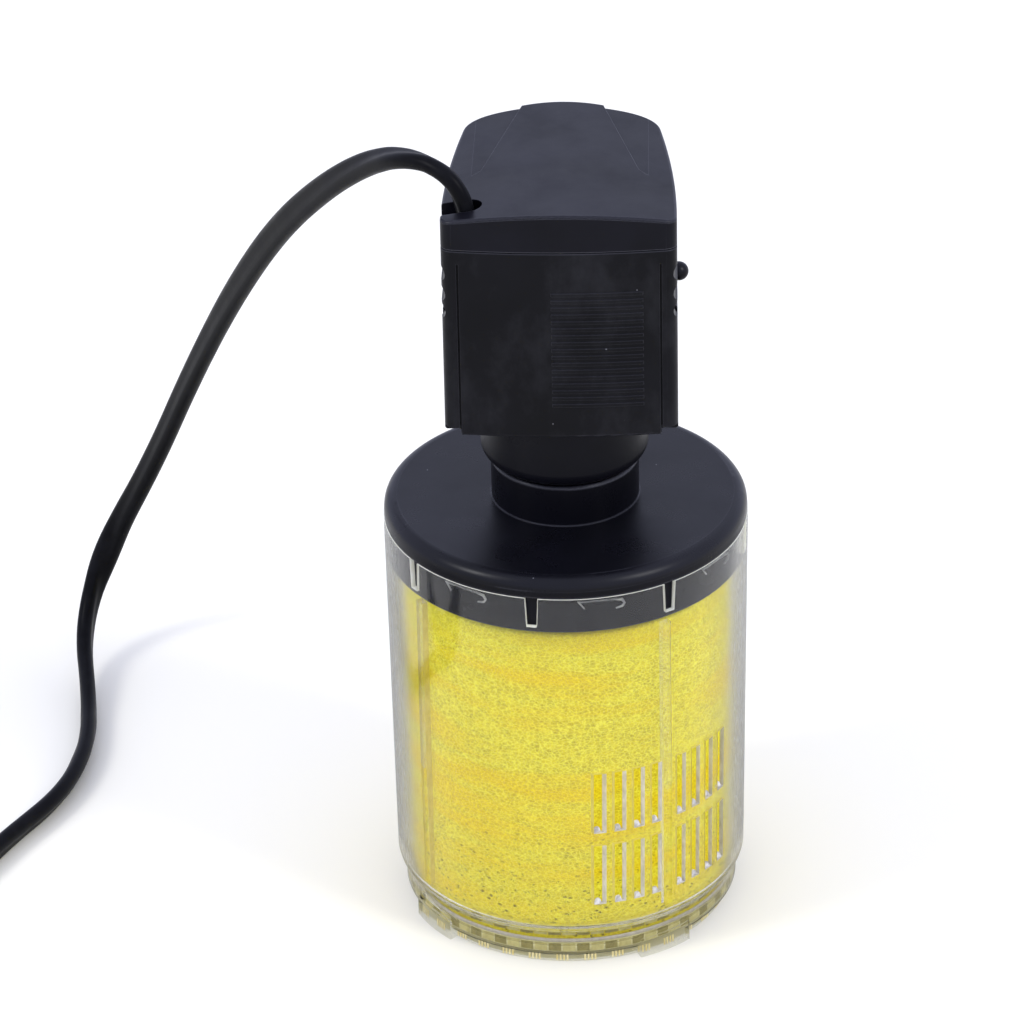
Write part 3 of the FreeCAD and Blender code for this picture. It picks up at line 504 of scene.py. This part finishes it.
FLOOR_TURNS, OUTER_RADIUS, FLOOR_PITCH = 2, 44.2, 4.6
UPPER_RADIUS, UPPER_PITCH = 35.0, 4.4
LEAD_WIDE, LEAD_THICK = 7.0, 4.1
# The lead lies on its narrow side, half its width above the floor, and the upper turns lie on it.
LYING, STACKED = 3.5, 7.3
# How far the flat lead is turned about itself: mm from its exit, and degrees.
TWIST = (
    [(0, 130), (18, 128), (26, 94), (35, 62), (45, 40), (54, 26), (64, 15), (76, 3), (93, -8)]
    + [(113, -12), (139, -9), (165, 0), (192, 7), (208, 12), (228, 19), (246, 28), (257, 32)]
    + [(267, 20), (278, 0), (290, 3), (326, 0), (343, -25), (362, -32), (381, -28), (410, -9), (440, 0)]
)


def coil_spot(turn):
    """Radius and height of the lead's centre after so many turns: inwards on the floor, then out on top."""
    if turn <= FLOOR_TURNS:
        return OUTER_RADIUS - FLOOR_PITCH * turn, LYING
    rise = min(1.0, (turn - FLOOR_TURNS) / 0.25)
    rise = rise * rise * (3 - 2 * rise)
    return UPPER_RADIUS + UPPER_PITCH * max(0.0, turn - FLOOR_TURNS - 0.15), LYING + STACKED * rise


coil_points = []
for step in range(1, int(TURNS * TURN_STEPS) + 1):
    turn_now = step / TURN_STEPS
    radius, height = coil_spot(turn_now)
    angle = -2 * math.pi * turn_now
    # a control point sits a little outside the curve that it makes
    radius /= (1 + math.cos(2 * math.pi / TURN_STEPS)) / 2 * 0.5 + 0.5
    coil_points.append(
        (COIL_CENTRE.x + radius * math.cos(angle), COIL_CENTRE.y + radius * math.sin(angle), height)
    )
TAIL = [(-244.6, -34.0, 10.7), (-244.2, -24.0, 9.4), (-243.6, -16.0, 7.4), (-243.5, -9.0, 6.85)]

curve = bpy.data.curves.new("lead_route", "CURVE")
curve.dimensions = "3D"
spline = curve.splines.new("NURBS")
route = ROUTE + coil_points + TAIL
spline.points.add(len(route) - 1)
for spot, (x, y, z) in zip(spline.points, route, strict=True):
    spot.co = (x * MM, y * MM, z * MM, 1)
spline.order_u = 3
spline.use_endpoint_u = True
spline.resolution_u = 10
guide = link("lead_route", curve)
bpy.context.view_layer.update()
traced = bpy.data.meshes.new_from_object(guide.evaluated_get(bpy.context.evaluated_depsgraph_get()))
path = [vertex.co.copy() for vertex in traced.vertices]
bpy.data.objects.remove(guide)
path = [spot for i, spot in enumerate(path) if i == 0 or (spot - path[i - 1]).length > 1e-6]


def flat_twin_section(wide, thick, steps=7):
    """The outline of a flat two-core sheath: two round sides joined by slightly hollow faces."""
    radius = thick / 2
    centre = wide / 2 - radius
    outline = []
    for side in (1, -1):
        for i in range(-steps, steps + 1):
            angle = math.radians(90) * i / steps
            outline.append((side * (centre + radius * math.cos(angle)), side * radius * math.sin(angle)))
        outline.append((side * centre * 0.35, side * radius * 0.93))
        outline.append((-side * centre * 0.35, side * radius * 0.93))
    return outline


def tube_along(name, spots, sections, wide_ways):
    """A closed mesh tube: at each spot a section, with its wide axis along wide_ways."""
    points, faces = [], []
    count = len(sections[0])
    for i, spot in enumerate(spots):
        along = (spots[min(i + 1, len(spots) - 1)] - spots[max(i - 1, 0)]).normalized()
        wide = (wide_ways[i] - along * wide_ways[i].dot(along)).normalized()
        thin = along.cross(wide)
        points += [spot + wide * (u * MM) + thin * (v * MM) for u, v in sections[i]]
    for i in range(len(spots) - 1):
        for j in range(count):
            k = (j + 1) % count
            faces.append((i * count + j, i * count + k, (i + 1) * count + k, (i + 1) * count + j))
    faces.append(tuple(range(count))[::-1])
    faces.append(tuple(range((len(spots) - 1) * count, len(spots) * count)))
    return outward(mesh_piece(name, points, faces))


def twisted_ways(spots):
    """For each spot the way across the path nearest to vertical, turned about the path by TWIST."""
    flat = []
    for i in range(len(spots)):
        step = spots[min(i + 1, len(spots) - 1)] - spots[max(i - 1, 0)]
        flat.append(Vector((step.x, step.y, 0)) / max(step.length, 1e-9))
    ways, gone = [], 0.0
    for i, spot in enumerate(spots):
        gone += (spot - spots[max(i - 1, 0)]).length / MM
        near = sum((flat[j] for j in range(max(0, i - 6), min(len(spots), i + 7))), Vector())
        along = (spots[min(i + 1, len(spots) - 1)] - spots[max(i - 1, 0)]).normalized()
        sideways = Vector((0, 0, 1)).cross(near).normalized()
        turned = math.radians(np.interp(gone, *zip(*TWIST)))
        ways.append(Matrix.Rotation(turned, 3, along) @ along.cross(sideways).normalized())
    return ways


section = flat_twin_section(LEAD_WIDE, LEAD_THICK)
lead = tube_along("lead", path, [section] * len(path), twisted_ways(path))
lead.data.set_sharp_from_angle(angle=math.radians(50))
dress(lead, "cord_pvc")
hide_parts("power_cord", "cord_coil", "cord_tail")
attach(lead, "pump_head")

# ---- canister ----

TAB_TURN = 35.2
RIM = 108.0
SLOT_LOWS, SLOT_TALL = (19.1, 40.1), 17.3
SLOT_HALF, SLOT_HALF_INSIDE = 1.45, 0.9
SLIT_DEEP, SLIT_WIDE, SLIT_WIDE_AT_RIM = 8, 2.5, 3.3
RIB_LOW, RIB_TOP, RIB_WIDE = 14, 96, 2.5
# The cup's section, (radius, height): inside from the axis to the rim, then outside back to the axis.
CUP = [
    (0, 5.0),
    (40.45, 5.0),
    (40.7, 5.3),
    (40.7, 9.9),
    (42.55, 12.3),
    (42.8, 13.2),
    (42.815, 14.5),
    (43.894, 107.3),
    (43.9, 108.0),
    (45.2, 108.0),
    (45.194, 107.3),
    (44.02, 14.0),
    (44.0, 12.4),
    (43.8, 11.7),
    (42.0, 9.6),
    (42.0, 3.3),
    (41.7, 3.0),
    (40.3, 2.6),
    (40.3, 0.3),
    (40.0, 0.0),
    (38.6, 0.0),
    (38.3, 0.3),
    (38.3, 3.0),
    (0, 3.0),
]


def slot_places():
    """The direction, sideways place and low end of every slot: four on each side of two opposite ribs."""
    for opposite in (0, 180):
        for side in (-1, 1):
            for place_in_row in range(4):
                for low in SLOT_LOWS:
                    yield TAB_TURN + opposite, side * (3.7 + 4.85 * place_in_row), low


def slot(phi, lateral, low, high):
    """A slot's cutter: straight on one side, and drawn in towards the inside on the other."""
    out, side = heading(phi)
    outline = []
    near, far = math.sqrt(42.6**2 - lateral**2), math.sqrt(45.0**2 - lateral**2)
    straight = [(30, -SLOT_HALF), (47, -SLOT_HALF), (47, SLOT_HALF), (far, SLOT_HALF)]
    for reach, offset in straight + [(near, SLOT_HALF_INSIDE), (30, SLOT_HALF_INSIDE)]:
        spot = out * reach + side * (lateral + offset)
        outline.append((spot.x, spot.y))
    return prism("slot", outline, low, high)


def canister():
    """The clear cup with its tabs, slots, ribs, floor slots and foot lugs."""
    cup = lathe("canister_clear", CUP, 288)
    holes = []
    for i in range(8):
        place = (41.5, 47, 0, SLIT_WIDE, RIM - SLIT_DEEP, RIM + 1, SLIT_WIDE_AT_RIM)
        holes.append(bar("slit", TAB_TURN + 45 * i, *place))
    for phi, lateral, low in slot_places():
        holes.append(slot(phi, lateral, low, low + SLOT_TALL))
    for i in range(36):
        holes.append(bar("floor_slot", TAB_TURN + 10 * i, 31.5, 37.5, 0, 3.2, 2, 6))
    boolean(cup, joined("holes", holes), "DIFFERENCE")
    for i in range(4):
        boolean(cup, bar("rib", TAB_TURN + 90 * i, 41.7, 43.2, 0, RIB_WIDE, RIB_LOW, RIB_TOP), "UNION")
    for i in range(4):
        outline = []
        for reach, steps in ((39.9, range(-10, 11)), (42.6, range(10, -11, -1))):
            for step in steps:
                out, _ = heading(TAB_TURN + 90 * i + step)
                outline.append((out.x * reach, out.y * reach))
        boolean(cup, prism("lug", outline, 0.0, 5.4), "UNION")
    soften(cup, 0.2, 2, 40, 35)
    return true_wall(cup)


def true_wall(cup):
    """Gives the wall's faces the round wall's own normals, so that it bends light evenly."""
    data = cup.data
    normals = [(0.0, 0.0, 0.0)] * len(data.loops)
    for polygon in data.polygons:
        middle = polygon.center
        out = Vector((middle.x, middle.y, 0)).normalized()
        facing = polygon.normal.dot(out)
        if abs(facing) < 0.985 or math.hypot(middle.x, middle.y) < 0.04 or middle.z < 0.0137:
            continue
        for i in polygon.loop_indices:
            spot = data.vertices[data.loops[i].vertex_index].co
            there = Vector((spot.x, spot.y, 0)).normalized()
            normals[i] = (there * math.copysign(1, facing) + Vector((0, 0, polygon.normal.z))).normalized()
    data.normals_split_custom_set(normals)
    return cup


# The clear piece's materials after its first.
RIM_GLOW, SLOT_SIDE_SHADE, FOOT, SLOT_FOAM_REFLECTION, RIB = range(1, 6)


def mark_edges(cup):
    """Gives the rim, the slits, the slots, the ribs and the foot their own finish: the rim and the slits a
    painted cream glow, the slots' right and lower faces painted grey shade with painted highlights, their
    other faces a painted reflection of the foam.
    """
    data = cup.data
    data.materials.append(cut_edge("rim_glow", rgb(250, 249, 232), rgb(240, 238, 212), 0.05))
    data.materials.append(cut_edge("slot_side_shade", rgb(216, 212, 212), rgb(182, 178, 176), 0.3))
    data.materials.append(clear_plastic("foot_styrene", (0.76, 0.74, 0.57, 1), (0.6, 0.59, 0.46, 1), 1.2))
    data.materials.append(cut_edge("slot_foam_reflection", rgb(228, 210, 84), rgb(206, 186, 52), 0.2))
    data.materials.append(clear_plastic("rib_styrene", (0.88, 0.88, 0.84, 1), (0.8, 0.8, 0.76, 1), 1.06))
    _, side = heading(TAB_TURN)
    for polygon in data.polygons:
        middle, way = polygon.center / MM, polygon.normal
        reach = math.hypot(middle.x, middle.y)
        across_wall = abs(way.dot(Vector((middle.x, middle.y, 0)).normalized()))
        in_slots = 18.5 < middle.z < 58 and reach > 41.5 and abs(middle.dot(side)) > 2
        if middle.z < 9.8:
            polygon.material_index = FOOT
        elif middle.z > 99.5 and across_wall < 0.97 and reach > 43.7:
            polygon.material_index = RIM_GLOW
        elif in_slots and across_wall < 0.9:
            polygon.material_index = SLOT_SIDE_SHADE if way.dot(side) < -0.25 or way.z > 0.4 else SLOT_FOAM_REFLECTION
        elif 13.8 < middle.z < 96.2 and across_wall < 0.96:
            polygon.material_index = RIB


def slot_drops():
    """The small thickenings at the slots' lower ends."""
    drops = []
    for phi, lateral, low in slot_places():
        reach = math.sqrt(43.2**2 - lateral**2)
        place = (reach - 0.5, reach + 0.45, lateral - 0.2, 2.0, low - 0.1, low + 1.3, 1.0)
        drops.append(bar("drop", phi, *place))
    return soften(joined("slot_drops", drops), 0.2, 2)


drops = slot_drops()
dress(drops, "clear_plastic")
# The drops are painted light grey: a painted highlight at the slots' lower ends.
drops.data.materials[0] = cut_edge("drop_highlight", rgb(244, 242, 246), rgb(168, 164, 166), 0.35)
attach(drops, "canister")

clear = canister()
dress(clear, "clear_plastic")
mark_edges(clear)
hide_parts("canister")
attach(clear, "canister")


# The outline of a catch: degrees round the rim from its middle, and height in mm.
CATCH = [(-8.2, 106.9), (-6.0, 104.7), (-5.7, 104.9), (-7.2, 106.5), (3.8, 106.4), (6.0, 106.0), (6.8, 105.2)]
CATCH += [(6.2, 104.6), (4.2, 104.2), (4.3, 103.95), (6.6, 104.2), (7.5, 105.2), (6.6, 106.5), (4.0, 106.9)]


def snap_beads():
    """One raised catch inside each rim tab: slanted at its left end and rounded at its right one."""
    catches = []
    for i in range(8):
        middle = TAB_TURN + 22.5 + 45 * i
        points, count = [], len(CATCH)
        for reach in (43.95, 43.62):
            for step, height in CATCH:
                out, _ = heading(middle + step)
                points.append(out * (reach * MM) + Vector((0, 0, height * MM)))
        faces = [(j, (j + 1) % count, (j + 1) % count + count, j + count) for j in range(count)]
        faces += [tuple(range(count))[::-1], tuple(range(count, 2 * count))]
        catch = outward(mesh_piece("catch", points, faces, smooth=False))
        catches.append(catch)
    return joined("snap_beads", catches)


beads = snap_beads()
dress(beads, "clear_plastic")
# The catches are painted pale grey: a painted highlight along the rim tabs.
beads.data.materials[0] = cut_edge("catch_highlight", rgb(206, 206, 196), rgb(150, 150, 150), 0.65)
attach(beads, "canister")


def foot_row(name, places, shade):
    """Small blocks round the foot, each (turn, lateral, width, inner, outer, low, high), 36 times over."""
    blocks = [
        bar(name, TAB_TURN + 10 * i + turned, inner, outer, lateral, width, low, high)
        for i in range(36)
        for turned, lateral, width, inner, outer, low, high in places
    ]
    row = joined(name, blocks)
    dress(row, "clear_plastic")
    row.data.materials[0] = shade
    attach(row, "canister")


def foot_ring(name, inner, outer, low, high, shade):
    """A thin ring inside the foot's wall."""
    ring = lathe(name, [(inner, low), (outer, low), (outer, high), (inner, high)], 144)
    dress(ring, "clear_plastic")
    ring.data.materials[0] = shade
    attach(ring, "canister")


# The floor slots' ends and the steps of the foot, as they show through its wall, as thin painted sheets: the
# slots' ends are dark pockets of painted shade, the webs between them paler, and the step's line a painted
# highlight.
foot_row(
    "slot_end_shade",
    [(0, 0, 3.3, 40.48, 40.64, 8.3, 9.5), (0, 0, 3.1, 40.42, 40.6, 3.6, 5.7)],
    cut_edge("pocket_shade", rgb(148, 139, 84), rgb(126, 118, 70), 0.15),
)
foot_row(
    "slot_webs",
    [(5, 0, 3.3, 40.44, 40.6, 8.3, 9.5), (5, 0, 3.1, 40.42, 40.6, 3.6, 5.7)],
    cut_edge("web_shade", rgb(196, 188, 132), rgb(172, 162, 106), 0.15),
)
foot_row(
    "flange_marks",
    [(2.5, offset, 0.45, 40.2, 40.36, 0.4, 2.3) for offset in (-1.3, -0.45, 0.45, 1.3)],
    cut_edge("mark_shade", rgb(236, 224, 172), rgb(214, 196, 122), 0.2),
)
step_highlight = cut_edge("step_highlight", rgb(206, 200, 204), rgb(186, 180, 182), 0.2)
foot_ring("step_highlight_ring", 40.42, 40.66, 6.2, 7.2, step_highlight)
back_shade = cut_edge("back_shade", rgb(214, 208, 164), rgb(200, 194, 150), 0.1)
foot_ring("foot_back", 40.3, 40.4, 3.3, 6.0, back_shade)

# ---- foam ----

FOAM_LOW, FOAM_TALL, FOAM_TOP, FOAM_ROUND = 5.2, 91.3, 96.5, 1.6


def foam_radius(height):
    """The foam's radius in mm at a height: pulled in a little at its foot and rounded at both ends."""
    base = 39.6 + 1.3 * min(1.0, max(0.0, (height - 10.5) / 2.0))
    for end, way in ((FOAM_LOW, 1), (FOAM_TOP, -1)):
        depth = (height - end) * way
        if depth < FOAM_ROUND:
            base -= FOAM_ROUND - math.sqrt(max(0.0, FOAM_ROUND**2 - (FOAM_ROUND - depth) ** 2))
    return base


def sponge(sides, rows, rings):
    """The foam cylinder, its skin pitted by open cells."""
    points, faces = [], []
    heights = [FOAM_LOW + FOAM_TALL * (i / (rows - 1)) for i in range(rows)]

    def pitted(spot, out):
        """A point of the skin, sunk where it lies in a cell and raised on a strand."""
        cell = noise.voronoi(spot * 0.9)[0]
        edge = min(1.0, (cell[1] - cell[0]) / 0.45)
        soft = noise.noise(spot * 0.11) * 0.28
        return (spot + out * (soft - 0.16 * edge + 0.06)) * MM

    for height in heights:
        radius = foam_radius(height)
        for i in range(sides):
            angle = 2 * math.pi * i / sides
            out = Vector((math.cos(angle), math.sin(angle), 0))
            points.append(pitted(out * radius + Vector((0, 0, height)), out))
    for row in range(rows - 1):
        for i in range(sides):
            j = (i + 1) % sides
            a, b = row * sides, (row + 1) * sides
            faces.append((a + i, a + j, b + j, b + i))
    for start, height, way in (((rows - 1) * sides, FOAM_TOP, 1), (0, FOAM_LOW, -1)):
        previous = list(range(start, start + sides))
        edge = foam_radius(height)
        for ring in range(1, rings):
            reach = edge * (1 - ring / rings)
            current = []
            for i in range(sides):
                angle = 2 * math.pi * i / sides
                spot = Vector((math.cos(angle) * reach, math.sin(angle) * reach, height))
                current.append(len(points))
                points.append(pitted(spot, Vector((0, 0, way))))
            for i in range(sides):
                j = (i + 1) % sides
                faces.append((previous[i], previous[j], current[j], current[i]))
            previous = current
        points.append(Vector((0, 0, height * MM)))
        faces += [(previous[i], previous[(i + 1) % sides], len(points) - 1) for i in range(sides)]
    return outward(mesh_piece("foam", points, faces))


block = sponge(440, 156, 14)
dress(block, "foam")
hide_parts("sponge")
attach(block, "canister")

# ---- plug ----

PLUG_AT = (-243.5, -12.5, 6.85)
# The plug's sections past its relief: place along it, half width, half thickness, squareness.
PLUG_RINGS = [
    (21.8, 5.4, 4.8, 0),
    (23.5, 5.9, 5.3, 0.2),
    (25.5, 7.6, 5.8, 0.5),
    (29.0, 12.0, 6.3, 0.9),
    (32.5, 15.6, 6.6, 1.2),
    (35.0, 17.1, 6.75, 1.4),
    (38.0, 17.5, 6.8, 1.5),
    (46.0, 17.2, 6.8, 1.5),
    (55.0, 16.6, 6.75, 1.5),
    (56.4, 16.4, 6.6, 1.5),
    (57.0, 15.9, 6.1, 1.5),
]


def plug_body():
    """The shell of a flat two-pin plug, with a ribbed relief, along +Y."""
    spots, sections = [], []
    x, y, z = PLUG_AT

    def ring(along, half_wide, half_thick, corner):
        spots.append(Vector((x, y + along, z)) * MM)
        outline = []
        for i in range(48):
            angle = 2 * math.pi * i / 48
            c, s = math.cos(angle), math.sin(angle)
            power = 2 / (2 + 3 * corner)
            wide = half_wide * math.copysign(abs(c) ** power, c)
            thick = half_thick * math.copysign(abs(s) ** power, s)
            outline.append((wide, thick))
        sections.append(outline)

    ring(0.0, 3.7, 2.7, 0)
    for i in range(6):
        start, reach = 1.0 + 3.4 * i, 3.9 + 0.26 * i
        ring(start, reach, reach - 0.6, 0)
        ring(start + 2.0, reach + 0.1, reach - 0.5, 0)
        ring(start + 2.2, reach - 0.8, reach - 1.3, 0)
        ring(start + 3.2, reach - 0.8, reach - 1.3, 0)
    for sizes in PLUG_RINGS:
        ring(*sizes)
    body = tube_along("plug_shell", spots, sections, [Vector((1, 0, 0))] * len(spots))
    body.data.set_sharp_from_angle(angle=math.radians(38))
    return body


plug = plug_body()
dress(plug, "cord_pvc")
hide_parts("plug_body")
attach(plug, "pump_head")

# ---- floor and light ----


def floor_material():
    r = Recipe("pale_floor")
    tone = r.blend(r.noise(0.01, 3), (0.94, 0.91, 0.77, 1), (0.95, 0.92, 0.78, 1))
    return r.finish(Base_Color=tone, Roughness=0.9, Specular_IOR_Level=0.1)


floor = mesh_piece("floor", [(-6, -6, 0), (6, -6, 0), (6, 6, 0), (-6, 6, 0)], [(0, 1, 2, 3)])
floor.data.materials.append(floor_material())

world = bpy.data.worlds.new("studio")
bpy.context.scene.world = world
world.use_nodes = True
backdrop = world.node_tree.nodes["Background"]
backdrop.inputs["Color"].default_value = (0.92, 0.97, 1.28, 1)
backdrop.inputs["Strength"].default_value = 1.0


def softbox(name, azimuth, elevation, distance, size, watts):
    """A square light that faces the object, placed by its direction from it."""
    data = bpy.data.lights.new(name, "AREA")
    data.shape = "RECTANGLE"
    data.size, data.size_y = size
    data.energy = watts
    lamp = bpy.data.objects.new(name, data)
    bpy.context.scene.collection.objects.link(lamp)
    turned, raised = math.radians(azimuth), math.radians(elevation)
    way = Vector(
        (math.sin(turned) * math.cos(raised), -math.cos(turned) * math.cos(raised), math.sin(raised))
    )
    lamp.location = Vector((0, 0, 0.1)) + way * distance
    lamp.rotation_euler = (-way).to_track_quat("-Z", "Y").to_euler()


softbox("left_light", -66, 42, 1.6, (0.3, 0.5), 7.5)
softbox("right_light", 57, 42, 1.6, (0.3, 0.5), 7.5)
bpy.context.scene.view_settings.view_transform = "Standard"
